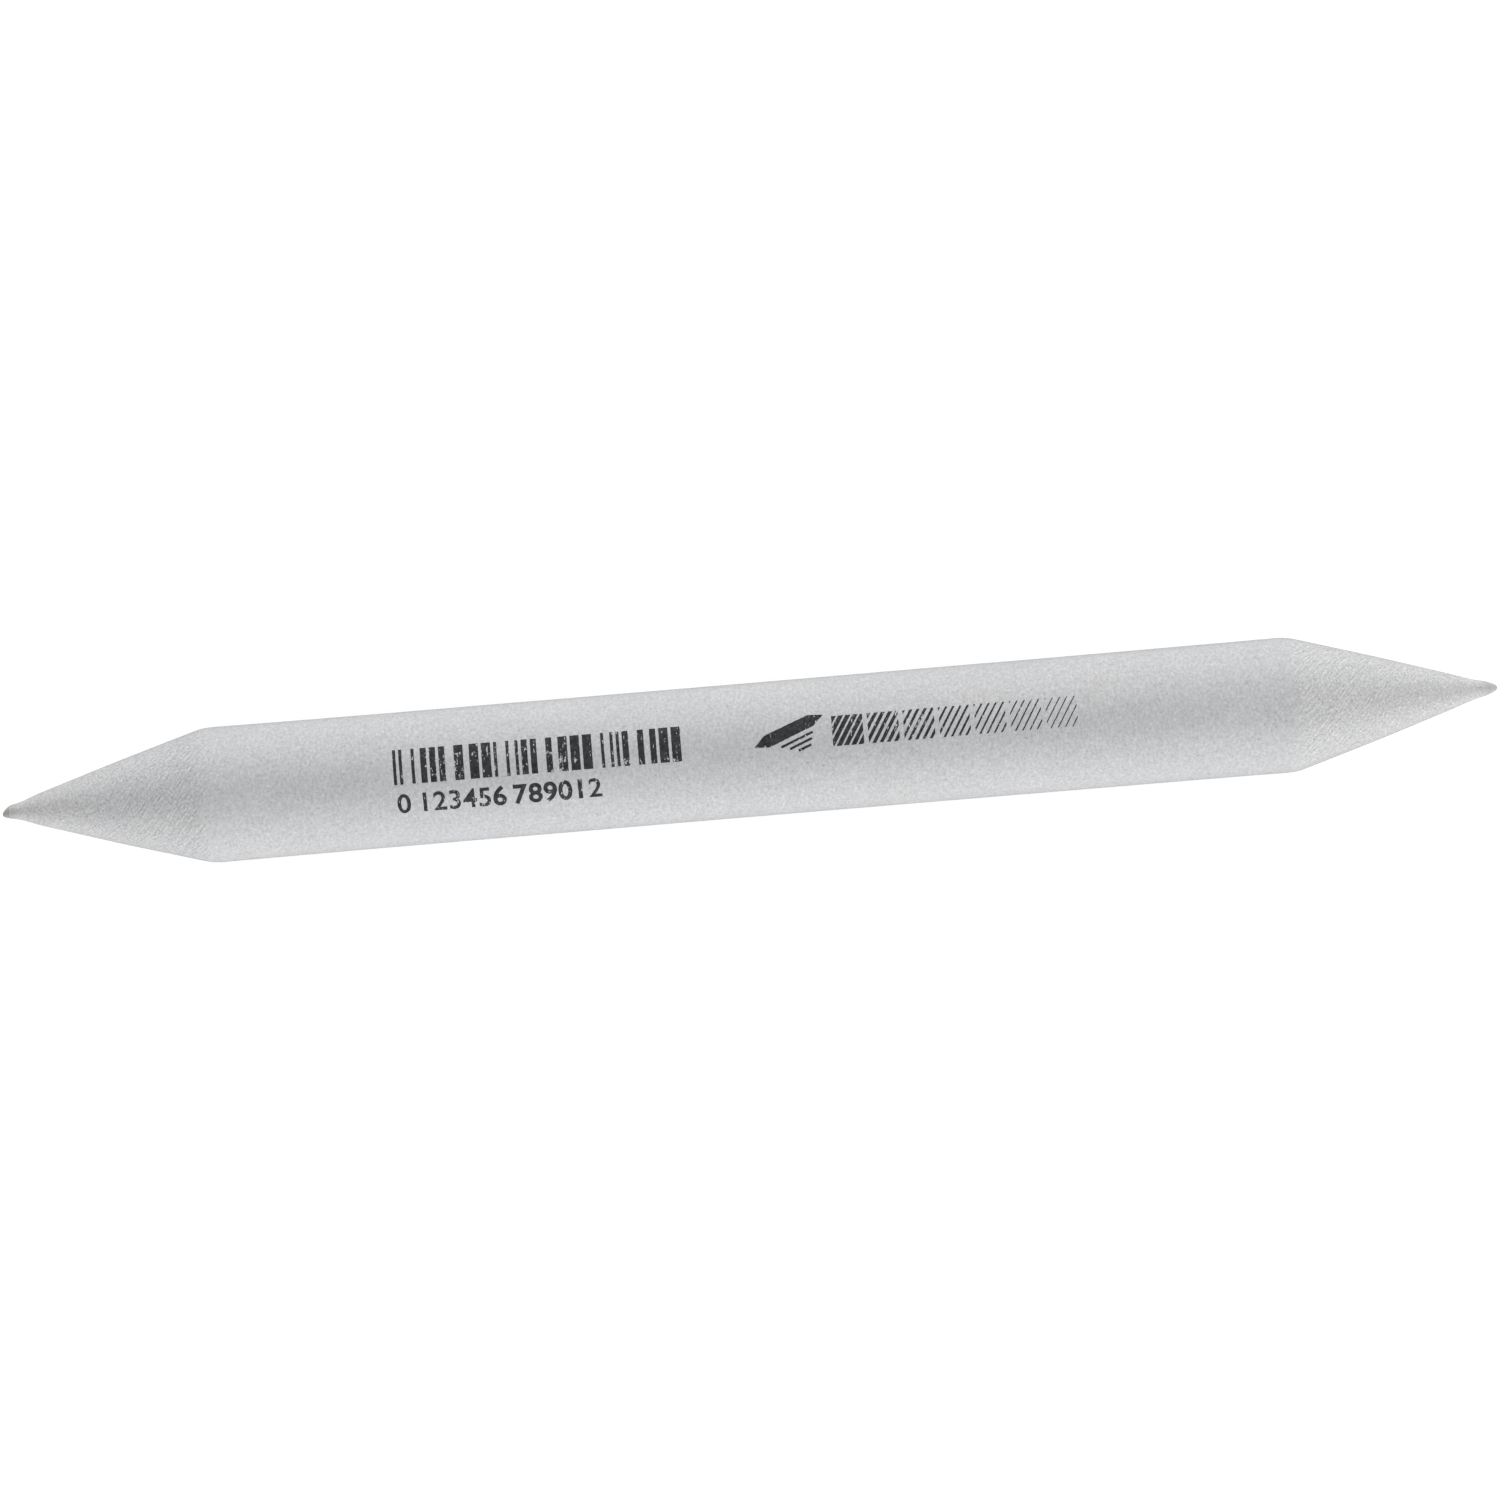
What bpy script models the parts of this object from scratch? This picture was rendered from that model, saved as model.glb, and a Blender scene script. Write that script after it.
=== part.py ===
"""Blending stump: a stick of soft grey felt paper, wound tight and ground to a point at both ends.

Metres, +Z up. The stump lies along X on the plane z = 0, with the origin under its middle.

Each piece is made about its own local Z axis, the winding axis, and the empty `stump_axis`
lays them all down, so that local +Z is the right-hand point and local +X faces straight down.
"""

import math
from typing import NamedTuple

import bmesh
import bpy

MM = 0.001

# The finished stick.
LENGTH = 129.6 * MM
BARREL_RADIUS = 5.8 * MM
SHOULDER_ROUNDING = 0.6 * MM  # how far the shoulder's bend runs along the cone and along the barrel
TIP_FLAT_RADIUS = 0.13 * MM


class GroundEnd(NamedTuple):
    """One point, from the tip inwards. Each place is (radius, distance from the tip)."""

    nib: tuple  # where the dome of the tip ends
    neck: tuple  # the firm core still backs the felt up to here
    cone: tuple  # the cone proper runs from here
    belly: tuple  # over this, where it grows a little less steep
    shoulder: tuple  # to here, where the barrel begins


# The two ends are ground one at a time, and they differ a little.
LEFT_END = GroundEnd(
    nib=(0.55 * MM, 0.64 * MM),
    neck=(0.68 * MM, 1.2 * MM),
    cone=(1.44 * MM, 3.4 * MM),
    belly=(3.52 * MM, 10.0 * MM),
    shoulder=(BARREL_RADIUS, 17.7 * MM),
)
RIGHT_END = GroundEnd(
    nib=(0.57 * MM, 0.85 * MM),
    neck=(0.77 * MM, 1.65 * MM),
    cone=(1.66 * MM, 4.4 * MM),
    belly=(3.46 * MM, 10.0 * MM),
    shoulder=(BARREL_RADIUS, 17.75 * MM),
)

# The core: a thin hard paper rolled into a pin.
PINHOLE_RADIUS = 0.08 * MM
CORE_RADIUS = 0.47 * MM
CORE_TURNS = 4
CORE_GAP = 0.014 * MM  # air between one turn and the next
CORE_FEATHER = 0.02 * MM  # thickness left at the paper's two skived edges

# The sheet: one length of thick felt paper, skived along its head and its tail.
FELT_INNER_RADIUS = 0.51 * MM
FELT_TURNS = 12
FELT_GAP = 0.03 * MM
FELT_FEATHER = 0.05 * MM
SEAM_STEPS = 2  # the tail's edge, in facets round from straight down, out of sight

# The paste that tacks the sheet's head to the core and its tail to the turn below.
PASTE_FILL = 0.5  # share of the gap that the dried film takes up
PASTE_LENGTH = 90.0 * MM
HEAD_PASTE_STEPS = 8  # width of the film, in facets
TAIL_PASTE_STEPS = 3
TAIL_PASTE_SETBACK_STEPS = 1

# Facets of a full turn. One is at the bottom, so that the stick lies flat on it.
# The winding's corners are half a facet round from those of the ground surface.
SIDES = 16
HALF_STEP = math.pi / SIDES
CORNER_GROWTH = 1 / math.cos(HALF_STEP)  # from a radius across flats to the one across corners
DOME_STEPS = 4
SHOULDER_STEPS = 2
OVERSIZE = 1.0 * MM  # stock that the grinding takes off
WELD_DISTANCE = 0.0001 * MM  # points closer together than this are one point

GREY_FELT = ((0.46, 0.46, 0.48), 0.95)
CORE_PAPER = ((0.38, 0.38, 0.36), 0.85)
DRIED_PASTE = ((0.62, 0.58, 0.46), 0.45)


def clear_scene():
    for obj in list(bpy.data.objects):
        bpy.data.objects.remove(obj, do_unlink=True)


def new_collection(name):
    made = bpy.data.collections.new(name)
    bpy.context.scene.collection.children.link(made)
    return made


def principled(name, look):
    """A plain material from (colour, roughness)."""
    colour, roughness = look
    made = bpy.data.materials.new(name)
    made.use_nodes = True
    shader = made.node_tree.nodes["Principled BSDF"]
    shader.inputs["Base Color"].default_value = (*colour, 1)
    shader.inputs["Roughness"].default_value = roughness
    shader.inputs["Metallic"].default_value = 0
    return made


def dome(end):
    """The tip, from its small flat out to the nib, along a parabola."""
    radius, length = end.nib
    points = [(0, 0)]
    for i in range(DOME_STEPS + 1):
        t = i / DOME_STEPS
        points.append((TIP_FLAT_RADIUS + (radius - TIP_FLAT_RADIUS) * t, length * t**2))
    return points


def shoulder_bend(end):
    """The soft bend from the cone into the barrel."""
    radius, distance = end.shoulder
    slope = (radius - end.belly[0]) / (distance - end.belly[1])
    points = []
    for i in range(SHOULDER_STEPS + 1):
        t = i / SHOULDER_STEPS
        drop = slope * SHOULDER_ROUNDING * (1 - t) ** 2
        points.append((radius - drop, distance + SHOULDER_ROUNDING * (2 * t - 1)))
    return points


def ground_profile():
    """(radius, height) of the whole stick, from the right-hand tip down to the left-hand one."""

    def from_tip(end):
        return [*dome(end), end.neck, end.cone, end.belly, *shoulder_bend(end)]

    top = [(radius, LENGTH / 2 - distance) for radius, distance in from_tip(RIGHT_END)]
    bottom = [(radius, distance - LENGTH / 2) for radius, distance in from_tip(LEFT_END)]
    return top + bottom[::-1]


def turned_blank(name, profile, collection):
    """The shape that the grinding leaves, turned about local Z. It only cuts, so it isn't shown."""
    mesh = bpy.data.meshes.new(name)
    points = [(radius * CORNER_GROWTH, 0, height) for radius, height in profile]
    mesh.from_pydata(points, [(i, i + 1) for i in range(len(points) - 1)], [])
    obj = bpy.data.objects.new(name, mesh)
    collection.objects.link(obj)
    screw = obj.modifiers.new("turn", "SCREW")
    screw.axis = "Z"
    screw.steps = screw.render_steps = SIDES
    screw.use_merge_vertices = True
    screw.merge_threshold = WELD_DISTANCE
    obj.rotation_euler.z = HALF_STEP
    obj.hide_render = True
    obj.display_type = "WIRE"
    return obj


def spiral_point(turn, radius):
    return (radius * math.cos(math.tau * turn), radius * math.sin(math.tau * turn), 0, 1)


def wound_outline(inner_radius, outer_radius, turns, gap, feather, stock):
    """A sheet wound from inner_radius outwards, seen along the axis, as a closed outline.

    Its head is skived, so that the first turn hugs a round core. Its tail ends as a feather edge
    just inside outer_radius, with at most `stock` standing out past that radius to be ground off.
    Also returns the turn that it ends on.
    """
    pitch = (outer_radius - inner_radius) / turns
    first = math.ceil(SIDES * (gap + feather) / pitch)
    last = math.floor(SIDES * (1 + (outer_radius - feather - inner_radius) / pitch))
    inner_side, outer_side = [], []
    for i in range(first, last + 1):
        turn = i / SIDES
        outside = min(inner_radius + pitch * turn - gap, outer_radius + stock)
        inner_side.append(spiral_point(turn, inner_radius + pitch * max(0, turn - 1)))
        outer_side.append(spiral_point(turn, outside))
    return outer_side + inner_side[::-1], last / SIDES


def film_outline(radius_at, first_turn, steps, gap):
    """A film in the middle of a gap that starts at radius_at(turn), as a closed outline."""
    clearance = gap * (1 - PASTE_FILL) / 2
    inner_side, outer_side = [], []
    for i in range(steps + 1):
        turn = first_turn + i / SIDES
        inner_side.append(spiral_point(turn, radius_at(turn) + clearance))
        outer_side.append(spiral_point(turn, radius_at(turn) + gap - clearance))
    return outer_side + inner_side[::-1]


def extruded(name, outline, length, material, collection):
    """A flat outline drawn out along local Z, as a welded mesh object."""
    curve = bpy.data.curves.new(name + "_outline", "CURVE")
    curve.dimensions = "2D"
    curve.fill_mode = "BOTH"
    curve.extrude = length / 2
    spline = curve.splines.new("POLY")
    spline.points.add(len(outline) - 1)
    for point, place in zip(spline.points, outline, strict=True):
        point.co = place
    spline.use_cyclic_u = True
    drawn = bpy.data.objects.new(name + "_outline", curve)
    collection.objects.link(drawn)
    bpy.context.view_layer.update()
    evaluated = drawn.evaluated_get(bpy.context.evaluated_depsgraph_get())
    mesh = bpy.data.meshes.new_from_object(evaluated)
    mesh.name = name
    welded = bmesh.new()
    welded.from_mesh(mesh)
    bmesh.ops.remove_doubles(welded, verts=welded.verts, dist=WELD_DISTANCE)
    bmesh.ops.recalc_face_normals(welded, faces=welded.faces)
    welded.to_mesh(mesh)
    welded.free()
    obj = bpy.data.objects.new(name, mesh)
    obj.matrix_world = drawn.matrix_world
    collection.objects.link(obj)
    bpy.data.objects.remove(drawn)
    obj.data.materials.clear()
    obj.data.materials.append(material)
    return obj


def grind(obj, blank):
    """Takes off everything outside the blank."""
    cut = obj.modifiers.new("grind", "BOOLEAN")
    cut.operation = "INTERSECT"
    cut.solver = "EXACT"
    cut.object = blank


def core_roll(blank, collection):
    outline, _ = wound_outline(
        PINHOLE_RADIUS, CORE_RADIUS, CORE_TURNS, CORE_GAP, CORE_FEATHER, stock=0
    )
    paper = principled("core_paper", CORE_PAPER)
    obj = extruded("core_roll", outline, LENGTH + OVERSIZE, paper, collection)
    grind(obj, blank)
    return obj


def felt_sheet(blank, collection):
    """Returns the wound sheet and the turn on which its tail ends."""
    outline, tail = wound_outline(
        FELT_INNER_RADIUS, BARREL_RADIUS, FELT_TURNS, FELT_GAP, FELT_FEATHER, stock=OVERSIZE
    )
    felt = principled("grey_felt", GREY_FELT)
    obj = extruded("felt_sheet", outline, LENGTH + OVERSIZE, felt, collection)
    grind(obj, blank)
    return obj, tail


def paste_lines(tail, collection):
    """The film at the sheet's head and the one under its tail."""
    paste = principled("dried_paste", DRIED_PASTE)
    pitch = (BARREL_RADIUS - FELT_INNER_RADIUS) / FELT_TURNS

    def core_surface(turn):
        return CORE_RADIUS

    def turn_below(turn):
        return FELT_INNER_RADIUS + pitch * (turn - 1) - FELT_GAP

    head_gap = FELT_INNER_RADIUS - CORE_RADIUS
    head = film_outline(core_surface, 0, HEAD_PASTE_STEPS, head_gap)
    tail_start = tail - (TAIL_PASTE_SETBACK_STEPS + TAIL_PASTE_STEPS) / SIDES
    under_tail = film_outline(turn_below, tail_start, TAIL_PASTE_STEPS, FELT_GAP)
    return [
        extruded("head_paste_line", head, PASTE_LENGTH, paste, collection),
        extruded("tail_paste_line", under_tail, PASTE_LENGTH, paste, collection),
    ]


def build():
    clear_scene()
    stump = new_collection("blending_stump")
    cutters = new_collection("cutters")

    axis = bpy.data.objects.new("stump_axis", None)
    stump.objects.link(axis)
    axis.rotation_euler = (0, math.pi / 2, 0)
    axis.location = (0, 0, BARREL_RADIUS)

    blank = turned_blank("ground_blank", ground_profile(), cutters)
    core = core_roll(blank, stump)
    felt, tail = felt_sheet(blank, stump)
    pastes = paste_lines(tail, stump)

    # The felt and its paste are turned together, which brings the seam to its place.
    seam_turn = SEAM_STEPS / SIDES - tail
    for obj in (felt, *pastes):
        obj.rotation_euler.z = math.tau * seam_turn
    for obj in (blank, core, felt, *pastes):
        obj.parent = axis


build()
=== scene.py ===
"""Looks of the blending stump: a stick of soft grey felt paper, wound tight and ground to two points.

Everything is in metres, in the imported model's frame: the stick lies along X on the plane z = 0,
with its print facing up.
"""

import math
from typing import NamedTuple

import bmesh
import bpy
import numpy as np
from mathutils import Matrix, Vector, noise
from mathutils.bvhtree import BVHTree
from mathutils.geometry import delaunay_2d_cdt


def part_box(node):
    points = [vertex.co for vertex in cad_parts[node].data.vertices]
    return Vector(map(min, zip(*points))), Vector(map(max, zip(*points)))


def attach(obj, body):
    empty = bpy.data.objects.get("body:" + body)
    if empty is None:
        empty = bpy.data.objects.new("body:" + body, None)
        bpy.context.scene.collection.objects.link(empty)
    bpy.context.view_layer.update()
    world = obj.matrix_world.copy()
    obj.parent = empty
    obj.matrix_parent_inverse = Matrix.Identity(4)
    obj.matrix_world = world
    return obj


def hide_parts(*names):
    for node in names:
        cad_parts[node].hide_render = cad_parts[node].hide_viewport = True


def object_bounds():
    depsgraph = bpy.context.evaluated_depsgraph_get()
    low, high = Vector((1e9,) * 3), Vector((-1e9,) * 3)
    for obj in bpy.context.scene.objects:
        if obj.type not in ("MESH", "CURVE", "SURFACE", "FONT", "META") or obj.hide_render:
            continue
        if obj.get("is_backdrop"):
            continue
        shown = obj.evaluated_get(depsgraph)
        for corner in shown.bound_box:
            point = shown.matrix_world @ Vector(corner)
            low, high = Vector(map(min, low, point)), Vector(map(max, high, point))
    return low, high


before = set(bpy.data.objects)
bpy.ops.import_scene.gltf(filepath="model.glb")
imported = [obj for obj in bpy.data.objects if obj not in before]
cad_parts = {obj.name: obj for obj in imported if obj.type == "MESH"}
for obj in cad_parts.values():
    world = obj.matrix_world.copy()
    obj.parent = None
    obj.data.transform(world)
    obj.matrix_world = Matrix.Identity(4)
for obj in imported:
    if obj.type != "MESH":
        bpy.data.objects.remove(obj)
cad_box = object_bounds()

MM = 0.001
MM_PER_M = 1000

# What the frame says: the stick's length, its axis and its radius.
core_low, core_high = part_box("core_roll")
LENGTH = core_high.x - core_low.x
RADIUS = cad_box[1].z / 2
AXIS_Z = RADIUS


class GroundEnd(NamedTuple):
    """One point, from the tip inwards. Each place is (radius, distance from the tip)."""

    nib: tuple  # where the dome of the tip ends
    neck: tuple  # the firm core still backs the felt up to here
    cone: tuple  # the cone proper runs from here
    belly: tuple  # over this, where it grows a little less steep
    shoulder: tuple  # to here, where the barrel begins


LEFT_END = GroundEnd(
    nib=(0.55 * MM, 0.64 * MM),
    neck=(0.68 * MM, 1.2 * MM),
    cone=(1.44 * MM, 3.4 * MM),
    belly=(3.52 * MM, 10.0 * MM),
    shoulder=(RADIUS, 17.7 * MM),
)
RIGHT_END = GroundEnd(
    nib=(0.57 * MM, 0.85 * MM),
    neck=(0.77 * MM, 1.65 * MM),
    cone=(1.66 * MM, 4.4 * MM),
    belly=(3.46 * MM, 10.0 * MM),
    shoulder=(RADIUS, 17.75 * MM),
)
BELLY_ROUNDING = 2 * MM  # how far the bend there runs, each way
SHOULDER_ROUNDING = 1.2 * MM  # and the one at the shoulder, a little softer than the solid's
SHOULDER_SWELL = 0.05 * MM  # the barrel is a little fuller near its shoulders
MIDDLE_WAIST = 0.03 * MM  # and a little slimmer between them
SWELL_REACH = 14 * MM

# Wear has pushed the left-hand nib a little aside, towards -Y.
NIB_BEND = 0.2 * MM
NIB_BEND_REACH = 0.9 * MM  # how far from the tip the bend begins

# The core shows only as a blunt nib at each tip. The felt is bored to clear it.
CORE_RADIUS = 0.47 * MM
BORE_RADIUS = 0.51 * MM
FELT_LIP = 0.015 * MM  # thickness of the felt's edge round the nib
RELIEF_FADE = 0.4 * MM  # where the felt is thinner than this over the core, its relief dies away
PINHOLE_RADIUS = 0.08 * MM
PINHOLE_DEPTH = 0.12 * MM
PINHOLE_TAPER = 0.5  # its radius at the bottom, as a share of the one at its mouth
CORE_TURNS = 4
TURN_RIDGE = 0.006 * MM  # how far each of the core's turns stands up on the ground dome

# The edge of the sheet, a feathered step that runs along the underside of the barrel.
SEAM_ANGLE = math.radians(36)  # round from straight down, towards +Y
SEAM_STEP = 0.07 * MM
SEAM_RISE = 0.16  # share of a turn over which the step eases out
SEAM_EDGE = 0.03 * MM

# The cones' grinding marks wind round them at a steady slant to the stick's length, so they turn
# by MARKS_WIND radians for each e-fold of the distance from a tip.
CONE_SLOPE = 0.31
MARKS_WIND = math.tan(math.radians(50)) / CONE_SLOPE
MARKS_APEX = 1 * MM  # how far past the blunt tip the cone's sides would meet
MARKS_RADIUS = 4 * MM  # the radius at which the marks are as wide as stated
MARKS_PITCH = 0.34 * MM  # from one scratch to the next

# The meshes of the felt and the core.
FELT_SEGMENTS = 176
FINE_STEP = 0.07 * MM  # between the felt's rings at the tips
COARSE_STEP = 0.25 * MM  # and along the barrel
FINE_REACH = 5 * MM  # how far from the tips the rings reach their full step
RING_SAMPLES = 4000  # along the stick, to space the rings by
BORE_RINGS = 16
CORE_SEGMENTS = 64
DOME_RINGS = 22
BEND_RINGS = 8  # of the bore and of the core, over the nib's bend


def smooth_step(t):
    t = np.clip(t, 0, 1)
    return t * t * (3 - 2 * t)


def hermite(t, start, end, start_slope, end_slope, span):
    """A smooth curve from start to end over span, with the given slopes."""
    return (
        start * (2 * t**3 - 3 * t**2 + 1)
        + start_slope * span * (t**3 - 2 * t**2 + t)
        + end * (3 * t**2 - 2 * t**3)
        + end_slope * span * (t**3 - t**2)
    )


def slope_between(start, end):
    return (end[0] - start[0]) / (end[1] - start[1])


def flattened_by(drop_in_slope, distance, bend_at, rounding):
    """How much lower a slope runs once it has eased off round bend_at, over rounding each way."""
    into = np.clip(distance - bend_at + rounding, 0, 2 * rounding)
    beyond = np.clip(distance - bend_at - rounding, 0, None)
    return drop_in_slope * (into**2 / (4 * rounding) + beyond)


def end_radius(end, distance):
    """The stick's radius at that distance from a tip."""
    nib_radius, nib_at = end.nib
    neck_radius, neck_at = end.neck
    cone_radius, cone_at = end.cone
    dome_slope = nib_radius / nib_at / 2
    neck_slope = slope_between(end.nib, end.neck)
    cone_slope = slope_between(end.cone, end.belly)
    belly_slope = slope_between(end.belly, end.shoulder)

    dome = nib_radius * np.sqrt(np.clip(distance, 0, nib_at) / nib_at)
    t = np.clip((distance - nib_at) / (neck_at - nib_at), 0, 1)
    to_neck = hermite(t, nib_radius, neck_radius, dome_slope, neck_slope, neck_at - nib_at)
    t = np.clip((distance - neck_at) / (cone_at - neck_at), 0, 1)
    to_cone = hermite(t, neck_radius, cone_radius, neck_slope, cone_slope, cone_at - neck_at)
    cone = cone_radius + cone_slope * (distance - cone_at)
    cone -= flattened_by(cone_slope - belly_slope, distance, end.belly[1], BELLY_ROUNDING)
    cone -= flattened_by(belly_slope, distance, end.shoulder[1], SHOULDER_ROUNDING)
    return np.select(
        [distance < nib_at, distance < neck_at, distance < cone_at], [dome, to_neck, to_cone], cone
    )


def stick_radius(x):
    """The ground stick's radius all along it."""
    from_left, from_right = x + LENGTH / 2, LENGTH / 2 - x
    radius = np.minimum(end_radius(LEFT_END, from_left), end_radius(RIGHT_END, from_right))
    past_left = from_left - LEFT_END.shoulder[1]
    past_right = from_right - RIGHT_END.shoulder[1]
    past = np.minimum(past_left, past_right)
    swell = np.exp(-np.clip(past, 0, None) / SWELL_REACH)
    inside = smooth_step(1 + past / MM)
    return radius + inside * (SHOULDER_SWELL * swell - MIDDLE_WAIST * (1 - swell))


def nib_bend(x):
    """How far the stick's axis strays along Y at the left-hand tip."""
    from_tip = x + LENGTH / 2
    return -NIB_BEND * np.clip(1 - from_tip / NIB_BEND_REACH, 0, 1) ** 2


def dome_distance(end, radius):
    """How far from the tip the dome reaches that radius."""
    return end.nib[1] * (radius / end.nib[0]) ** 2


def ring_places(first, last):
    """Where the felt's rings go: close together at the tips and even along the barrel."""
    x = np.linspace(first, last, RING_SAMPLES)
    from_end = np.minimum(x - first, last - x)
    step = FINE_STEP + (COARSE_STEP - FINE_STEP) * np.clip(from_end / FINE_REACH, 0, 1)
    along = np.concatenate([[0], np.cumsum(np.diff(x) / step[1:])])
    return np.interp(np.linspace(0, along[-1], int(along[-1])), along, x)


def noise_at(points, size, seed):
    """Smooth noise with features of that size, from about -1 to 1, at each point."""
    return np.array([noise.noise(p) for p in points / np.array(size) + seed])


def barrel_share(x):
    """1 on the barrel and 0 on the two cones."""
    inward = np.minimum(x + LENGTH / 2 - LEFT_END.shoulder[1], LENGTH / 2 - RIGHT_END.shoulder[1] - x)
    return smooth_step(inward / MM + 0.5)


def along_marks(points):
    """The points wrung about the axis, which makes straight noise follow the grinding marks."""
    x, y, z = points[:, 0], points[:, 1], points[:, 2] - AXIS_Z
    angle = -np.sign(x) * MARKS_WIND * np.log((LENGTH / 2 + MARKS_APEX - np.abs(x)) / MM)
    cos, sin = np.cos(angle), np.sin(angle)
    reach = MARKS_RADIUS / np.hypot(y, z)
    return np.stack([x, reach * (y * cos - z * sin), reach * (y * sin + z * cos)], axis=1)


def felt_relief(points):
    """How far the felt stands proud of the turned shape: soft dents, pulp grain and grinding marks."""
    barrel = barrel_share(points[:, 0])
    dents = noise_at(points, (9 * MM, 5 * MM, 5 * MM), 3)
    grain = noise_at(points, (0.8 * MM, 0.9 * MM, 0.9 * MM), 17)
    fibres = noise_at(points, (0.45 * MM, 1.3 * MM, 1.3 * MM), 29)
    strokes = noise_at(along_marks(points), (1.5 * MM, 0.4 * MM, 0.4 * MM), 41)
    on_barrel = 0.006 * grain + 0.006 * fibres
    on_cones = 0.002 * grain + 0.004 * strokes
    return MM * (0.015 * dents + barrel * on_barrel + (1 - barrel) * on_cones)


def in_scene(name, data):
    """A new object with that mesh, curve, light or camera."""
    obj = bpy.data.objects.new(name, data)
    bpy.context.scene.collection.objects.link(obj)
    return obj


def smooth_object(name, vertices, faces):
    mesh = bpy.data.meshes.new(name)
    mesh.from_pydata([tuple(v) for v in vertices], [], [tuple(int(i) for i in f) for f in faces])
    mesh.shade_smooth()
    return in_scene(name, mesh)


def ring_faces(rings, segments):
    """Quads between each ring of vertices and the next, and from the last ring to the first."""
    i, j = np.meshgrid(np.arange(rings), np.arange(segments), indexing="ij")
    next_i, next_j = (i + 1) % rings, (j + 1) % segments
    corners = [i * segments + j, next_i * segments + j, next_i * segments + next_j, i * segments + next_j]
    return np.stack(corners, axis=-1).reshape(-1, 4)


def felt_body():
    """The wound sheet as it shows: its ground outside, the bore for the core, and the sheet's edge."""
    first = -LENGTH / 2 + dome_distance(LEFT_END, BORE_RADIUS + FELT_LIP)
    last = LENGTH / 2 - dome_distance(RIGHT_END, BORE_RADIUS + FELT_LIP)
    x = ring_places(first, last)

    gap = SEAM_EDGE / RADIUS
    around = np.linspace(0, math.tau - gap, FELT_SEGMENTS)  # from the seam's foot to its crest
    down_step = SEAM_STEP * (1 - smooth_step(around / math.tau / SEAM_RISE))
    x_grid, angle = np.meshgrid(x, SEAM_ANGLE + around, indexing="ij")
    radius = stick_radius(x_grid) - down_step * barrel_share(x_grid)
    outward = np.stack([np.zeros_like(angle), np.sin(angle), -np.cos(angle)], axis=-1)
    centre = np.stack([x_grid, nib_bend(x_grid), np.full_like(angle, AXIS_Z)], axis=-1)
    surface = centre + outward * radius[..., None]
    fade = smooth_step((radius - BORE_RADIUS) / RELIEF_FADE)
    relief = felt_relief(surface.reshape(-1, 3)).reshape(radius.shape) * fade
    surface += outward * relief[..., None]
    surface[..., 2] = np.maximum(surface[..., 2], 0)  # it lies on its fullest places

    # The bore runs back from the right-hand end to the left-hand one, where it bends.
    bend_start = first + NIB_BEND_REACH
    straight_bore = np.linspace(last, bend_start, BORE_RINGS)
    bent_bore = np.linspace(bend_start, first, BEND_RINGS + 1)[1:]
    bore_x = np.concatenate([straight_bore, bent_bore])
    bore_grid, bore_angle = np.meshgrid(bore_x, SEAM_ANGLE + around, indexing="ij")
    bore_y = nib_bend(bore_grid) + BORE_RADIUS * np.sin(bore_angle)
    bore_z = AXIS_Z - BORE_RADIUS * np.cos(bore_angle)
    bore = np.stack([bore_grid, bore_y, bore_z], axis=-1)
    rings = np.concatenate([surface, bore])
    faces = ring_faces(len(rings), FELT_SEGMENTS)[:, ::-1]
    return smooth_object("felt_body", rings.reshape(-1, 3), faces)


def core_pin():
    """The rolled paper core. Its two ends show, as small domes with the pinhole it was wound on."""
    profile = []
    for end, side in ((LEFT_END, -1), (RIGHT_END, 1)):
        depth = dome_distance(end, CORE_RADIUS)
        share = np.linspace(0, 1, DOME_RINGS)
        radius = PINHOLE_RADIUS + (CORE_RADIUS - PINHOLE_RADIUS) * share
        distance = depth * (radius / CORE_RADIUS) ** 2
        fade_at_rim = smooth_step(4 * (1 - share))
        ridge = TURN_RIDGE * np.cos(math.tau * CORE_TURNS * share) * fade_at_rim
        dome = [(side * (LENGTH / 2 - d), r) for d, r in zip(distance + ridge, radius, strict=True)]
        bottom_at = LENGTH / 2 - distance[0] - PINHOLE_DEPTH
        pinhole = [(side * bottom_at, PINHOLE_RADIUS * PINHOLE_TAPER)]
        profile.append(pinhole + dome)
    left, right = profile
    bend = np.linspace(left[-1][0], NIB_BEND_REACH - LENGTH / 2, BEND_RINGS + 1)[1:]
    outline = left + [(x, CORE_RADIUS) for x in bend] + right[::-1]
    angle = np.arange(CORE_SEGMENTS) * math.tau / CORE_SEGMENTS
    rings = []
    for x, r in outline:
        y, z = nib_bend(x) + r * np.sin(angle), AXIS_Z - r * np.cos(angle)
        rings.append(np.stack([np.full(CORE_SEGMENTS, x), y, z], axis=1))
    vertices = np.concatenate(rings)
    faces = ring_faces(len(rings), CORE_SEGMENTS)[:-CORE_SEGMENTS, ::-1].tolist()
    faces.append(list(range(CORE_SEGMENTS))[::-1])
    faces.append(list(range(len(vertices) - CORE_SEGMENTS, len(vertices))))
    return smooth_object("core_pin", vertices, faces)


# The print on the barrel. It is laid out flat, in millimetres along the stick and round it from
# the top line towards +Y, and then wrapped on the felt. All of it is generic and encodes nothing.

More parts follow.
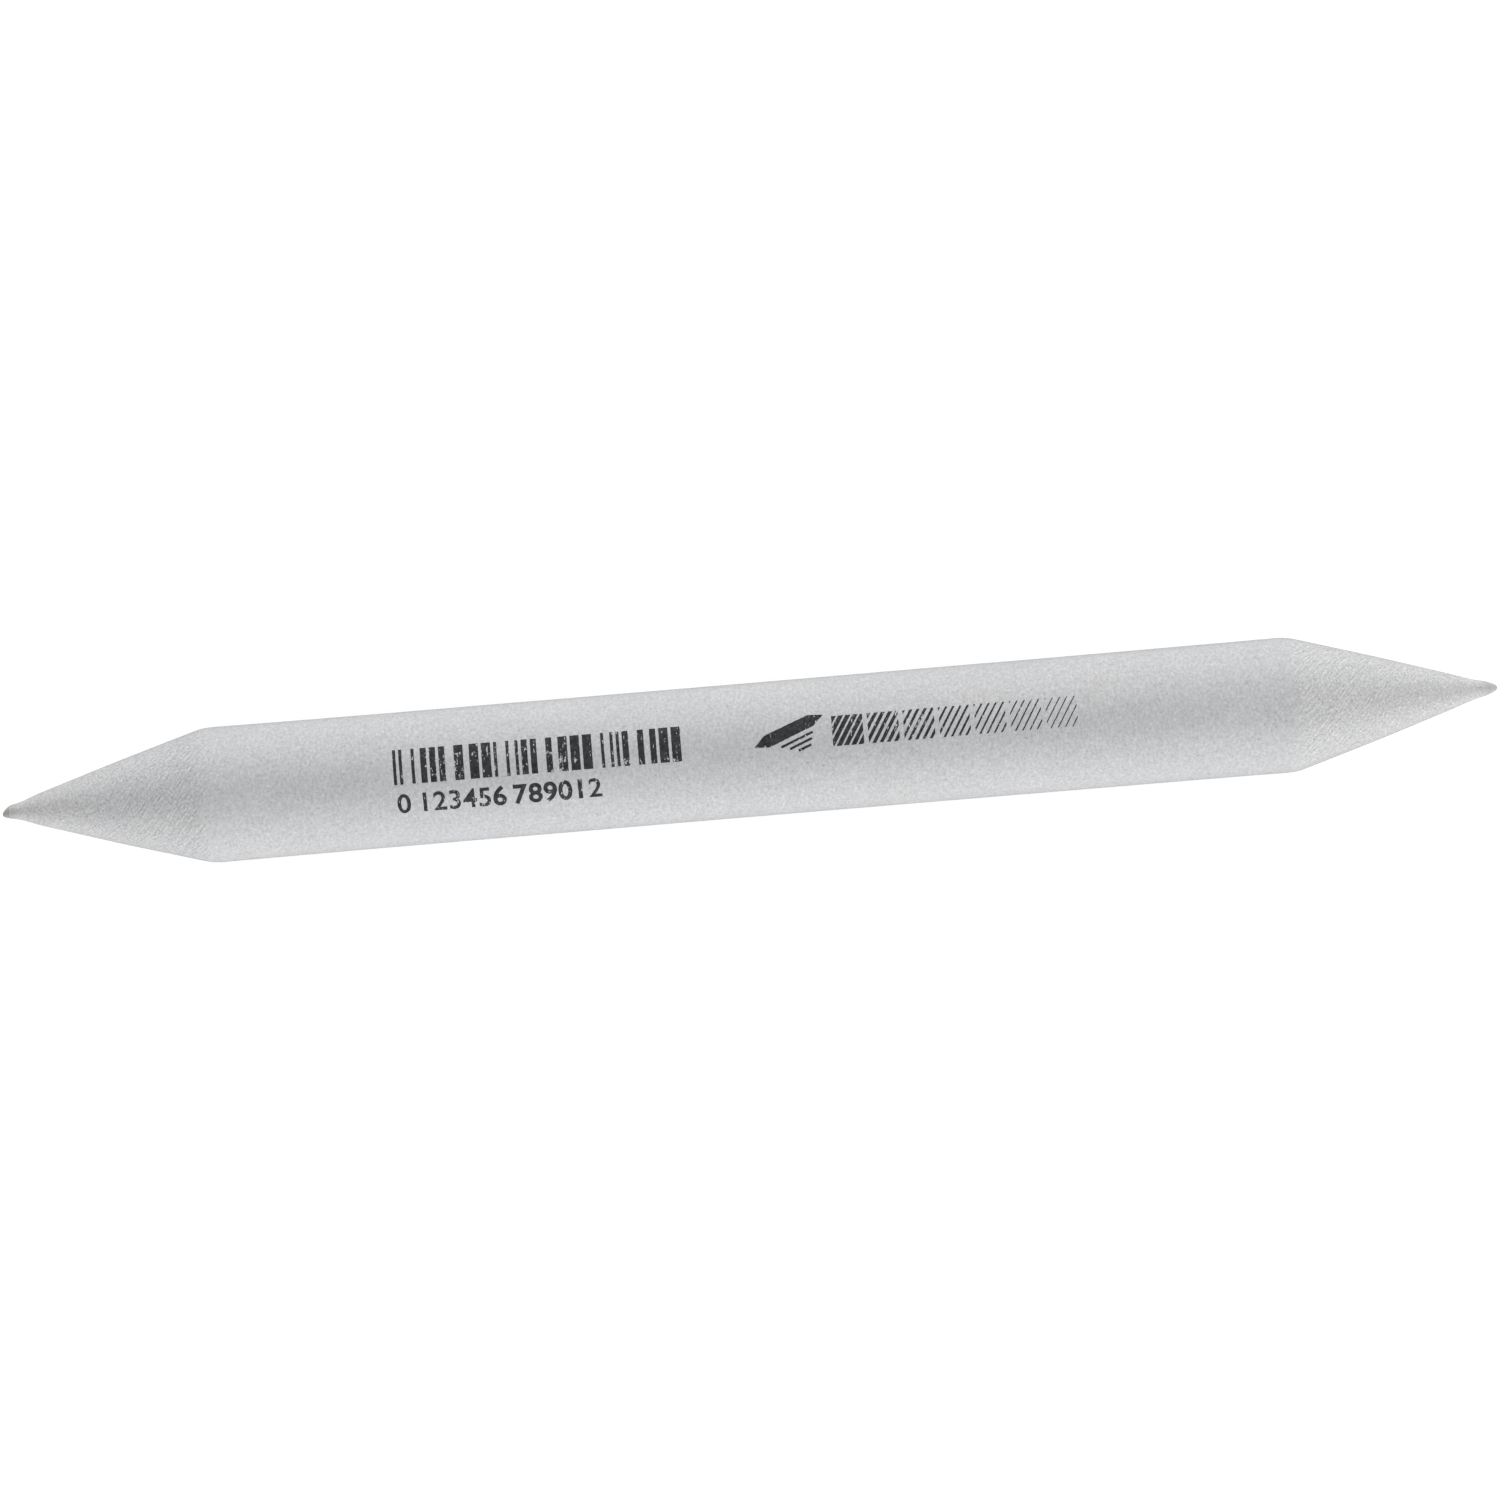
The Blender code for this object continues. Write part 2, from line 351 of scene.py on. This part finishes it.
INK_SOAK = 0.02 * MM  # how deep the ink lies in the felt
INK_PROUD = 0.012 * MM  # and how far it stands on it
PRINT_CELL = 0.14  # size of the pieces that the flat print is cut into, to follow the felt
CUT_TOLERANCE = 1e-5  # a point this close to a cut lies on it
WELD_DISTANCE = 1e-4  # points closer together than this are one point
RAGGED = 0.02  # how far the felt's fibres pull the ink's edges about
RAGGED_SIZE = 0.13
RAGGED_SHIFT = Vector((0, 0, 7.5))  # between the noise that pulls along the stick and round it
INK_SHARP_ANGLE = math.radians(40)  # the ink's rims stay crisp, and its top follows the felt smoothly
CLEAR_OF_FELT = 1.5  # this many radii out from the axis, there is nothing but air

BARS_LEFT, BARS_LENGTH = -30.46, 24.62
BARS_LOW, BARS_HIGH = -0.47, 2.6
BAR_COUNT = 26

DIGITS = "0 123456 789012"
DIGITS_LEFT, DIGITS_BASE = -30.42, -3.0
DIGIT_HEIGHT, DIGIT_PITCH, DIGIT_SPACE = 1.58, 1.278, 0.51
DIGIT_HEIGHT_SHARE = 0.655  # how tall the typeface's digits are, as a share of its size
INK_SPREAD, HEAVY_SPREAD = 0.034, 0.06  # how far the ink has run, and where it was pressed harder
HEAVY_DIGITS = range(6, 12)

PICTOGRAM_MIDDLE = (3.42, 1.37)
PICTOGRAM_TILT = math.radians(22)
SHADING_LENGTHS = (3.0, 2.1, 1.2)
SHADING_LEFT, SHADING_LOW = -1.2, -1.1  # where the first stroke of shading begins
SHADING_INDENT, SHADING_PITCH = 0.6, 0.46  # how much further in and down each next one does
SHADING_WIDTH = 0.2

SCALE_LEFT, SCALE_LOW, PATCH_SIDE, PATCH_PITCH = 7.12, -0.28, 2.65, 3.05
PATCH_TONES = (0.7, 0.54, 0.42, 0.33, 0.26, 0.2, 0.15)  # share of each patch that is inked
HATCH_PITCH = 0.62
HATCH_SLOPE = 0.6  # how far a stroke leans to the right over its height, as a share of it


def bar_polygons():
    """Upright bars whose widths and gaps follow a made-up rule."""
    edges = [0]
    for i in range(BAR_COUNT):
        edges.append(edges[-1] + 1 + (3 * i * i + i // 3) % 3)
        edges.append(edges[-1] + 1 + (5 * i + i // 4) % 3)
    unit = BARS_LENGTH / edges[-2]
    for i in range(BAR_COUNT):
        left, right = (BARS_LEFT + edge * unit for edge in edges[2 * i : 2 * i + 2])
        yield [(left, BARS_LOW), (right, BARS_LOW), (right, BARS_HIGH), (left, BARS_HIGH)]


def turned(points, angle, middle):
    """Points round the origin, turned by an angle and moved to a new middle."""
    cos, sin = math.cos(angle), math.sin(angle)
    return [(middle[0] + x * cos - y * sin, middle[1] + x * sin + y * cos) for x, y in points]


def pictogram_polygons():
    """A little stick with two points, tilted over three strokes of shading."""
    half, shoulder, width = 3.25, 2.1, 0.55
    stick = [(-half, 0), (-shoulder, -width), (shoulder, -width)]
    stick += [(half, 0), (shoulder, width), (-shoulder, width)]
    yield turned(stick, PICTOGRAM_TILT, PICTOGRAM_MIDDLE)
    for i, length in enumerate(SHADING_LENGTHS):
        left, low = SHADING_LEFT + SHADING_INDENT * i, SHADING_LOW - SHADING_PITCH * i
        right, high = left + length, low + SHADING_WIDTH
        stroke = [(left, low), (right, low), (right, high), (left, high)]
        yield turned(stroke, PICTOGRAM_TILT, PICTOGRAM_MIDDLE)


def clipped(polygon, axis, limit, keep_above):
    """The part of a convex polygon on one side of a line of constant x or y."""
    side = 1 if keep_above else -1
    kept = []
    for a, b in zip(polygon, polygon[1:] + polygon[:1], strict=True):
        above_a, above_b = side * (a[axis] - limit), side * (b[axis] - limit)
        if above_a >= 0:
            kept.append(a)
        if above_a * above_b < 0:
            t = above_a / (above_a - above_b)
            kept.append((a[0] + (b[0] - a[0]) * t, a[1] + (b[1] - a[1]) * t))
    return kept


def scale_polygons():
    """A row of square patches, hatched from dark to faint, as on a drawing's tone scale."""
    lean = HATCH_SLOPE * PATCH_SIDE
    top = SCALE_LOW + PATCH_SIDE
    for i, tone in enumerate(PATCH_TONES):
        left = SCALE_LEFT + i * PATCH_PITCH
        right = left + PATCH_SIDE
        for foot in np.arange(left - lean, right, HATCH_PITCH):
            width = HATCH_PITCH * tone
            stroke = [(foot, SCALE_LOW), (foot + width, SCALE_LOW)]
            stroke += [(foot + width + lean, top), (foot + lean, top)]
            stroke = clipped(clipped(stroke, 0, left, True), 0, right, False)
            if len(stroke) > 2:
                yield stroke


def flat_polygons(polygons):
    """Flat faces with those outlines, which run anticlockwise, so that the faces look up."""
    flat = bmesh.new()
    for polygon in polygons:
        flat.faces.new([flat.verts.new((x, y, 0)) for x, y in polygon])
    return flat


def flat_digits():
    """Flat faces in the shape of the digits, each in the middle of its place in the row."""
    flat = bmesh.new()
    left, count = DIGITS_LEFT, 0
    for character in DIGITS:
        if character == " ":
            left += DIGIT_SPACE
            continue
        curve = bpy.data.curves.new("digit", "FONT")
        curve.body = character
        curve.size = DIGIT_HEIGHT / DIGIT_HEIGHT_SHARE
        curve.offset = HEAVY_SPREAD if count in HEAVY_DIGITS else INK_SPREAD
        obj = in_scene("digit", curve)
        bpy.context.view_layer.update()
        mesh = bpy.data.meshes.new_from_object(obj.evaluated_get(bpy.context.evaluated_depsgraph_get()))
        low = min(v.co.x for v in mesh.vertices)
        high = max(v.co.x for v in mesh.vertices)
        to_place = Vector((left + DIGIT_PITCH / 2 - (low + high) / 2, DIGITS_BASE))
        # The spread outline overlaps itself in places, so its faces are merged into single ones.
        places = [v.co.to_2d() + to_place for v in mesh.vertices]
        inked = [list(face.vertices) for face in mesh.polygons]
        places, _, triangles, *_, covered_by = delaunay_2d_cdt(places, [], inked, 1, WELD_DISTANCE)
        corners = [flat.verts.new(place.to_3d()) for place in places]
        for triangle, faces in zip(triangles, covered_by, strict=True):
            if faces:
                flat.faces.new([corners[i] for i in triangle])
        bpy.data.objects.remove(obj)
        bpy.data.meshes.remove(mesh)
        left += DIGIT_PITCH
        count += 1
    return flat


def cut_in_cells(flat):
    """Cuts the flat print along a fine grid, and lets the fibres pull its edges about."""
    for axis in (0, 1):
        places = [v.co[axis] for v in flat.verts]
        for line in np.arange(min(places) + PRINT_CELL / 2, max(places), PRINT_CELL):
            point, normal = [0, 0, 0], [0, 0, 0]
            point[axis], normal[axis] = line, 1
            geometry = [*flat.verts, *flat.edges, *flat.faces]
            bmesh.ops.bisect_plane(
                flat, geom=geometry, plane_co=point, plane_no=normal, dist=CUT_TOLERANCE
            )
    bmesh.ops.remove_doubles(flat, verts=flat.verts, dist=WELD_DISTANCE)
    loose = [v for v in flat.verts if not v.link_faces]
    bmesh.ops.delete(flat, geom=loose, context="VERTS")
    bmesh.ops.triangulate(flat, faces=flat.faces)
    for v in flat.verts:
        place = v.co / RAGGED_SIZE
        v.co.x += RAGGED * noise.noise(place)
        v.co.y += RAGGED * noise.noise(place + RAGGED_SHIFT)


def closed_layer(flat):
    """Gives the flat print an upper side and walls round its rims. Returns the upper vertices."""
    lower = list(flat.faces)
    rims = [edge.link_loops[0] for edge in flat.edges if edge.is_boundary]
    above = {v: flat.verts.new(v.co) for v in list(flat.verts)}
    for face in lower:
        flat.faces.new([above[v] for v in face.verts])
    for rim in rims:
        start, end = rim.vert, rim.link_loop_next.vert
        flat.faces.new([start, end, above[end], above[start]])
    bmesh.ops.reverse_faces(flat, faces=lower)
    return set(above.values())


def print_piece(name, flat, felt_tree):
    """Wraps the flat print on the felt, as a thin closed layer."""
    cut_in_cells(flat)
    upper = closed_layer(flat)
    for v in flat.verts:
        angle = v.co.y * MM / RADIUS
        outward = Vector((0, math.sin(angle), math.cos(angle)))
        above_felt = Vector((v.co.x * MM, 0, AXIS_Z)) + outward * RADIUS * CLEAR_OF_FELT
        on_felt = felt_tree.ray_cast(above_felt, -outward)[0]
        v.co = on_felt + outward * (INK_PROUD if v in upper else -INK_SOAK)
    mesh = bpy.data.meshes.new(name)
    flat.to_mesh(mesh)
    flat.free()
    mesh.shade_smooth()
    mesh.set_sharp_from_angle(angle=INK_SHARP_ANGLE)
    return in_scene(name, mesh)


def printing(felt):
    """The four parts of the print, each a piece of its own."""
    tree = BVHTree.FromObject(felt, bpy.context.evaluated_depsgraph_get())
    ink = ink_material()
    flats = {
        "ink_bars": flat_polygons(bar_polygons()),
        "ink_digits": flat_digits(),
        "ink_pictogram": flat_polygons(pictogram_polygons()),
        "ink_tone_scale": flat_polygons(scale_polygons()),
    }
    for name, flat in flats.items():
        piece = print_piece(name, flat, tree)
        piece.data.materials.append(ink)
        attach(piece, "root")


# Materials.


class Nodes:
    """A new material's nodes, with a short way to add one and wire its inputs."""

    def __init__(self, name):
        self.material = bpy.data.materials.new(name)
        self.material.use_nodes = True
        self.tree = self.material.node_tree
        self.shader = self.tree.nodes["Principled BSDF"]

    def add(self, kind, inputs, **settings):
        node = self.tree.nodes.new("ShaderNode" + kind)
        for key, value in settings.items():
            setattr(node, key, value)
        for key, value in inputs.items():
            self.feed(node.inputs[key], value)
        return node

    def feed(self, socket, value):
        if isinstance(value, bpy.types.NodeSocket):
            self.tree.links.new(value, socket)
        else:
            socket.default_value = value

    def maths(self, operation, a, b=0.0):
        return self.add("Math", {0: a, 1: b}, operation=operation).outputs[0]

    def product(self, first, *others):
        for other in others:
            first = self.maths("MULTIPLY", first, other)
        return first

    def vector_maths(self, operation, a, b=(0, 0, 0)):
        return self.add("VectorMath", {0: a, 1: b}, operation=operation).outputs[0]

    def object_mm(self):
        """Places on the object, in millimetres, measured from the stick's axis."""
        places = self.add("TexCoord", {}).outputs["Object"]
        return self.add(
            "Mapping",
            {"Vector": places, "Location": (0, 0, -AXIS_Z * MM_PER_M), "Scale": (MM_PER_M,) * 3},
        ).outputs[0]

    def along_marks(self, places):
        """The places wrung about the axis, which makes straight noise follow the grinding marks."""
        x = self.add("SeparateXYZ", {"Vector": places}).outputs[0]
        from_middle = self.maths("ABSOLUTE", x)
        to_apex = self.maths("SUBTRACT", (LENGTH / 2 + MARKS_APEX) * MM_PER_M, from_middle)
        wind = self.maths("LOGARITHM", to_apex, math.e)
        angle = self.product(wind, -MARKS_WIND, self.maths("SIGN", x))
        across = self.vector_maths("MULTIPLY", places, (0, 1, 1))
        radius = MARKS_RADIUS * MM_PER_M
        rim = self.vector_maths("NORMALIZE", across)
        rim = self.vector_maths("MULTIPLY", rim, (0, radius, radius))
        along = self.vector_maths("MULTIPLY", places, (1, 0, 0))
        straight = self.vector_maths("ADD", along, rim)
        return self.add(
            "VectorRotate", {"Vector": straight, "Angle": angle}, rotation_type="X_AXIS"
        ).outputs[0]

    def stretched(self, places, size):
        """Places measured in feature sizes, given in millimetres along x, y and z."""
        scale = tuple(1 / s for s in size)
        return self.add("Mapping", {"Vector": places, "Scale": scale}).outputs[0]

    def noise(self, places, size, detail=2.0, roughness=0.5):
        """Noise from 0 to 1 with features of that size in millimetres, or sizes along x, y and z."""
        sizes = size if isinstance(size, tuple) else (size,) * 3
        inputs = {
            "Vector": self.stretched(places, sizes),
            "Scale": 1.0,
            "Detail": detail,
            "Roughness": roughness,
        }
        return self.add("TexNoise", inputs).outputs["Fac"]

    def between(self, share, a, b):
        """Value a, or b where share is 1."""
        return self.add("Mix", {"Factor": share, "A": a, "B": b}, data_type="FLOAT").outputs[0]

    def scratches_with_painted_shade(self, places, size):
        """Scratches along the grinding marks, from 0 to 1, drawn as painted shade: each dark line has a
        painted highlight beside it.
        """
        here = self.along_marks(places)
        inputs = {"Vector": here, "Angle": MARKS_PITCH / 2 / MARKS_RADIUS}
        beside = self.add("VectorRotate", inputs, rotation_type="X_AXIS").outputs[0]
        step = self.maths("SUBTRACT", self.noise(here, size), self.noise(beside, size))
        return self.remap(step, -1, 1)

    def remap(self, value, low, high, to_low=0.0, to_high=1.0, smooth=False):
        kind = "SMOOTHSTEP" if smooth else "LINEAR"
        inputs = {"Value": value, "From Min": low, "From Max": high, "To Min": to_low, "To Max": to_high}
        return self.add("MapRange", inputs, interpolation_type=kind).outputs["Result"]

    def swing(self, value, amount):
        """A factor round 1 that follows a value of 0 to 1, by that amount each way."""
        return self.remap(value, 0, 1, 1 - amount, 1 + amount)

    def mix(self, share, a, b):
        """Colour a, with that share of colour b."""
        return self.add("Mix", {0: share, 6: a, 7: b}, data_type="RGBA").outputs[2]

    def shaded(self, colour, factor):
        """The colour times a factor that varies over the surface."""
        return self.add("VectorMath", {0: colour, "Scale": factor}, operation="SCALE").outputs[0]

    def finish(self, roughness, specular):
        self.shader.inputs["Roughness"].default_value = roughness
        self.shader.inputs["Specular IOR Level"].default_value = specular

    def loose_nap(self, weight):
        """Fibres that stand out of the paper swallow more light the flatter one looks across them."""
        self.shader.inputs["Coat Weight"].default_value = weight
        self.shader.inputs["Coat Tint"].default_value = (0.84, 0.84, 0.84, 1)
        self.shader.inputs["Coat IOR"].default_value = 1.0
        self.shader.inputs["Coat Roughness"].default_value = 1.0

    def bump(self, height, depth, strength=1.0):
        """A normal from a height of 0 to 1, which stands for that depth in millimetres."""
        inputs = {"Strength": strength, "Distance": depth * MM, "Height": height}
        return self.add("Bump", inputs).outputs["Normal"]


FELT_COLOUR = (0.444, 0.448, 0.460, 1)
FELT_WARM = (0.453, 0.453, 0.455, 1)
FELT_DARK = (0.20, 0.20, 0.205, 1)
FELT_PALE = (0.58, 0.58, 0.58, 1)
TIP_GREY = (0.33, 0.325, 0.31, 1)
CLEAN_TIP_GREY = (0.43, 0.425, 0.405, 1)  # the right-hand nib is less handled
PASTE_THIN = (0.66, 0.62, 0.50, 1)
PASTE_THICK = (0.55, 0.50, 0.36, 1)
INK = (0.012, 0.0125, 0.014, 1)
INK_THIN = (0.040, 0.041, 0.045, 1)


def felt_colour(nodes, places):
    """The felt's colour, with painted shade and highlights along the cones' grinding marks, and the
    height of its surface fibres.
    """
    x = nodes.add("SeparateXYZ", {"Vector": places}).outputs[0]
    from_middle = nodes.maths("ABSOLUTE", x)
    shoulder = (LENGTH / 2 - LEFT_END.shoulder[1]) * MM_PER_M
    half_length = LENGTH / 2 * MM_PER_M
    on_cone = nodes.remap(from_middle, shoulder - 1.6, shoulder + 0.8, smooth=True)
    at_tip = nodes.remap(from_middle, half_length - 1.8, half_length - 0.5)

    # Grinding marks drawn as painted shade, each dark line with a painted highlight beside it.
    strokes = nodes.scratches_with_painted_shade(places, (0.85, 0.15, 0.15))
    grit = nodes.noise(places, 0.15, detail=0.0)
    cross = nodes.noise(places, (0.2, 0.5, 0.5), detail=1.0, roughness=0.7)
    pulp = nodes.noise(places, 0.24, detail=1.0, roughness=0.8)
    tufts = nodes.noise(places, 0.75, detail=1.0)
    cloud = nodes.noise(places, (5.0, 3.5, 3.5), detail=3.0, roughness=0.55)
    warmth = nodes.noise(places, (9.0, 6.0, 6.0), detail=1.0)

    colour = nodes.mix(nodes.remap(warmth, 0.45, 0.85), FELT_COLOUR, FELT_WARM)
    up_cone = nodes.remap(from_middle, shoulder, half_length)
    ground_warmth = nodes.maths("MAXIMUM", up_cone, nodes.remap(x, -1, 1, 0.2, 0.8))
    colour = nodes.mix(nodes.product(on_cone, ground_warmth), colour, FELT_WARM)
    # On the cones the tone takes that painted shade and highlight of the grinding marks, along with the
    # real grit.
    ground = nodes.product(nodes.swing(strokes, 0.49), nodes.swing(grit, 0.28))
    marks = nodes.between(on_cone, nodes.swing(cross, 0.18), ground)
    tone = nodes.product(
        marks, nodes.swing(pulp, 0.26), nodes.swing(tufts, 0.03), nodes.swing(cloud, 0.035)
    )
    colour = nodes.shaded(colour, tone)

    # A few darker and paler fibres and specks from the recycled pulp.
    dark_specks = nodes.noise(places, (0.26, 0.2, 0.2), detail=0.0)
    dark_places = nodes.noise(places, 1.7, detail=1.0)
    dark = nodes.product(
        nodes.remap(dark_specks, 0.70, 0.80), nodes.remap(dark_places, 0.5, 0.65), 0.4
    )
    colour = nodes.mix(dark, colour, FELT_DARK)
    pale_specks = nodes.noise(places, (0.24, 0.3, 0.3), detail=0.0)
    pale = nodes.product(nodes.remap(pale_specks, 0.70, 0.80), 0.35)
    colour = nodes.mix(pale, colour, FELT_PALE)
    handled = nodes.product(at_tip, nodes.remap(tufts, 0.35, 0.65, 0.25, 0.75))
    colour = nodes.mix(handled, colour, TIP_GREY)

    height = nodes.maths("ADD", pulp, marks)
    return colour, height


def felt_material():
    nodes = Nodes("grey_felt_paper")
    places = nodes.object_mm()
    colour, height = felt_colour(nodes, places)
    nodes.feed(nodes.shader.inputs["Base Color"], colour)
    nodes.feed(nodes.shader.inputs["Normal"], nodes.bump(height, 0.02, 0.6))
    nodes.finish(roughness=0.95, specular=0.05)
    nodes.loose_nap(0.35)
    return nodes.material


def core_material():
    """Dense rolled paper, darkened by handling, with its turns as fine rings."""
    nodes = Nodes("rolled_core_paper")
    places = nodes.object_mm()
    grime = nodes.noise(places, 0.25, detail=3.0)
    right_end = nodes.remap(nodes.add("SeparateXYZ", {"Vector": places}).outputs[0], -1, 1)
    grey = nodes.mix(right_end, TIP_GREY, CLEAN_TIP_GREY)
    colour = nodes.shaded(grey, nodes.swing(grime, 0.25))
    nodes.feed(nodes.shader.inputs["Base Color"], colour)
    grain = nodes.noise(places, (0.3, 0.08, 0.08), detail=3.0)
    nodes.feed(nodes.shader.inputs["Normal"], nodes.bump(grain, 0.012, 0.6))
    nodes.finish(roughness=0.85, specular=0.2)
    nodes.loose_nap(0.5)
    return nodes.material


def paste_material():
    """Dried starch paste: yellowish, a little glossy, crazed."""
    nodes = Nodes("dried_starch_paste")
    places = nodes.object_mm()
    thickness = nodes.noise(places, (3.0, 0.5, 0.5), detail=3.0)
    colour = nodes.mix(nodes.remap(thickness, 0.35, 0.65), PASTE_THIN, PASTE_THICK)
    nodes.feed(nodes.shader.inputs["Base Color"], colour)
    nodes.feed(nodes.shader.inputs["Roughness"], nodes.remap(thickness, 0.3, 0.7, 0.35, 0.6))
    crazing = nodes.add(
        "TexVoronoi", {"Vector": places, "Scale": 1.4}, feature="DISTANCE_TO_EDGE"
    ).outputs["Distance"]
    cracks = nodes.remap(crazing, 0, 0.08)
    nodes.feed(nodes.shader.inputs["Normal"], nodes.bump(cracks, 0.01, 0.7))
    return nodes.material


def ink_material():
    """Black printing ink, soaked in and worn off the highest fibres."""
    nodes = Nodes("worn_black_ink")
    places = nodes.object_mm()
    felt, height = felt_colour(nodes, places)
    flecks = nodes.noise(places, (0.22, 0.5, 0.5), detail=3.0, roughness=0.65)
    wear = nodes.noise(places, (3.0, 2.5, 2.5), detail=1.0)
    bare_above = nodes.remap(wear, 0.35, 0.7, 0.68, 0.56)
    over = nodes.maths("SUBTRACT", flecks, bare_above)
    bare = nodes.remap(over, 0.0, 0.05)
    density = nodes.noise(places, 0.35, detail=2.0)
    ink = nodes.mix(nodes.remap(density, 0.3, 0.75), INK, INK_THIN)
    nodes.feed(nodes.shader.inputs["Base Color"], nodes.mix(bare, ink, felt))
    nodes.feed(nodes.shader.inputs["Normal"], nodes.bump(height, 0.02, 0.5))
    nodes.finish(roughness=0.75, specular=0.2)
    return nodes.material


# Stage.

CAMERA_LENS = 120
SENSOR_WIDTH = 36
STICK_TILT = math.radians(4.789)  # how far the stick rises to the right in the view
CLIP_START, CLIP_END = 0.01, 50

# The lights, with places and sizes in metres and powers in watts.
HORIZON_LIGHT, OVERHEAD_LIGHT = 1.03, 0.80
SWEEP_TOP = math.radians(20)  # the height at which the sweep has faded to the light overhead
SIDE_LIGHT_SIZE = (0.8, 0.16)
SIDE_LIGHT_REACH, SIDE_LIGHT_HEIGHT = 0.594, 0.089  # how far off the axis to each side, and how high
BACK_POWER, FRONT_POWER = 3.15, 3.35
END_LIGHT_SIZE = (0.3, 0.16)
END_LIGHT_PLACE = (0.544, 0, 0.26)
END_POWER = 1.05

FLOOR_SIZE = 40
FLOOR_GREY = (0.38, 0.38, 0.38, 1)
FLOOR_GLOW = 0.67


def camera():
    """Straight above the stick, with a long lens, turned so that the stick fills the view's width."""
    data = bpy.data.cameras.new("camera")
    data.lens = CAMERA_LENS
    data.sensor_width = SENSOR_WIDTH
    data.clip_start, data.clip_end = CLIP_START, CLIP_END
    obj = in_scene("camera", data)
    distance = LENGTH * CAMERA_LENS / SENSOR_WIDTH
    obj.location = (0, 0, AXIS_Z + distance)
    obj.rotation_euler = (0, 0, -STICK_TILT)
    bpy.context.scene.camera = obj


def softbox(name, location, size, power):
    """A large soft light that faces the stick."""
    data = bpy.data.lights.new(name, "AREA")
    data.shape = "RECTANGLE"
    data.size, data.size_y = size
    data.energy = power
    obj = in_scene(name, data)
    obj.location = location
    obj.rotation_euler = (Vector((0, 0, AXIS_Z)) - obj.location).to_track_quat("-Z", "Y").to_euler()
    obj.visible_camera = False


def world_light():
    """A white sweep: brightest where it meets the floor, and a little dimmer overhead."""
    world = bpy.data.worlds.new("studio")
    bpy.context.scene.world = world
    world.use_nodes = True
    tree = world.node_tree
    direction = tree.nodes.new("ShaderNodeTexCoord").outputs["Generated"]
    height = tree.nodes.new("ShaderNodeSeparateXYZ")
    fade = tree.nodes.new("ShaderNodeMapRange")
    fade.inputs["From Max"].default_value = math.sin(SWEEP_TOP)
    fade.inputs["To Min"].default_value = HORIZON_LIGHT
    fade.inputs["To Max"].default_value = OVERHEAD_LIGHT
    tree.links.new(direction, height.inputs[0])
    tree.links.new(height.outputs["Z"], fade.inputs["Value"])
    background = tree.nodes["Background"]
    background.inputs["Color"].default_value = (1, 1, 1, 1)
    tree.links.new(fade.outputs["Result"], background.inputs["Strength"])


def white_floor():
    """A pale table that glows a little, so that the stick's shadow on it stays faint."""
    bpy.ops.mesh.primitive_plane_add(size=FLOOR_SIZE)
    obj = bpy.context.object
    obj.name = "floor"
    nodes = Nodes("white_table")
    nodes.shader.inputs["Base Color"].default_value = FLOOR_GREY
    nodes.shader.inputs["Emission Color"].default_value = (1, 1, 1, 1)
    nodes.shader.inputs["Emission Strength"].default_value = FLOOR_GLOW
    nodes.finish(roughness=0.9, specular=0)
    obj.data.materials.append(nodes.material)
    obj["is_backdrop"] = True


def stage():
    camera()
    world_light()
    for name, side, power in (("back", 1, BACK_POWER), ("front", -1, FRONT_POWER)):
        place = (0, side * SIDE_LIGHT_REACH, SIDE_LIGHT_HEIGHT)
        softbox(f"side_light_{name}", place, SIDE_LIGHT_SIZE, power)
    softbox("end_light", END_LIGHT_PLACE, END_LIGHT_SIZE, END_POWER)
    white_floor()
    bpy.context.scene.view_settings.view_transform = "Standard"


def main():
    felt = felt_body()
    felt.data.materials.append(felt_material())
    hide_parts("felt_sheet", "tail_paste_line")
    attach(felt, "root")

    core = core_pin()
    core.data.materials.append(core_material())
    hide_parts("core_roll")
    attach(core, "root")

    printing(felt)

    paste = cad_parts["head_paste_line"]
    paste.data.materials.clear()
    paste.data.materials.append(paste_material())

    stage()


main()

boxes = {"cad": cad_box, "visual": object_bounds()}
{name: [list(corner) for corner in box] for name, box in boxes.items()}
